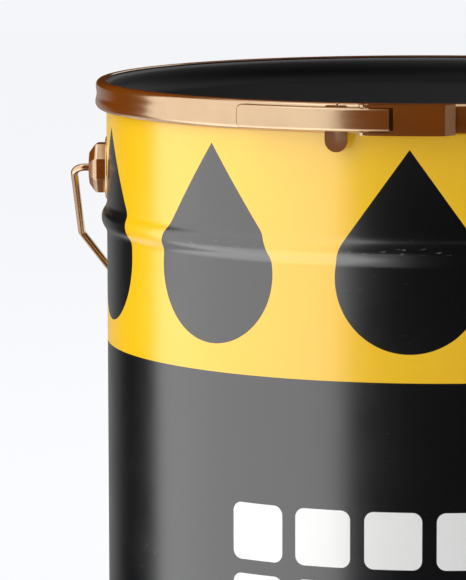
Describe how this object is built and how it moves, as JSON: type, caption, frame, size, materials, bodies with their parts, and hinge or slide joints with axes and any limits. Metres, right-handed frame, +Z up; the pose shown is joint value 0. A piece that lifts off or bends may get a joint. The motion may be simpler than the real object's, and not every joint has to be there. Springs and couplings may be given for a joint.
{
  "type": "steel paint pail with lever-ring lid",
  "caption": "Straight-sided open-head steel paint pail with a recessed lid, a lever-closed lock ring, welded ears and a swinging wire bail with a plastic grip.",
  "frame": {"origin": "on the pail's axis, in the plane it stands on, at the middle of its bottom chime", "axes": "+Z up the pail's axis, -Y towards the closing lever, the bail's ears on the X axis"},
  "size_m": [0.3196, 0.3173, 0.3503],
  "materials": {
    "body_paint": "printed steel sheet, yellow above a curved boundary and black below, satin varnish",
    "copper_steel": "copper-coloured lacquer on steel, semi-gloss",
    "lid_lacquer": "semi-gloss black lacquer",
    "grip_plastic": "moulded, satin black",
    "seal": "matt grey-black compound"
  },
  "bodies": {
    "can": {"can_shell": "body_paint", "can_bottom": "body_paint", "bottom_seal": "seal", "ear_plate_left": "copper_steel", "ear_plate_right": "copper_steel", "ear_boss_left": "copper_steel", "ear_boss_right": "copper_steel"},
    "bail": {"bail_wire": "copper_steel"},
    "grip": {"bail_grip": "grip_plastic"},
    "lid": {"lid_panel": "lid_lacquer", "lid_gasket": "seal"},
    "ring": {"lock_ring": "copper_steel", "hook_bracket": "copper_steel", "anchor_strap": "copper_steel", "hinge_pin": "copper_steel"},
    "lever": {"lever": "copper_steel", "hook_pin": "copper_steel"}
  },
  "joints": [
    {"name": "bail_swing", "type": "hinge", "parent": "can", "child": "bail", "pos_m": [0, 0, 0.31], "axis": [1, 0, 0], "range_deg": [0, 259]},
    {"name": "grip_spin", "type": "hinge", "parent": "bail", "child": "grip", "pos_m": [0, 0.1535, 0.18179], "axis": [1, 0, 0], "continuous": true},
    {"name": "lid_lift", "type": "slide", "parent": "can", "child": "lid", "axis": [0, 0, 1], "range_m": [0, 0.1]},
    {"name": "ring_lift", "type": "slide", "parent": "can", "child": "ring", "axis": [0, 0, 1], "range_m": [0, 0.16], "deforming": ["lock_ring"]},
    {"name": "lever_swing", "type": "hinge", "parent": "ring", "child": "lever", "pos_m": [-0.01844, -0.15017, 0.34375], "axis": [0, 0, 1], "range_deg": [0, 100]}
  ],
  "couplings": [
    {"joint": "ring_lift", "follows": "lid_lift", "ratio": 1.6}
  ]
}
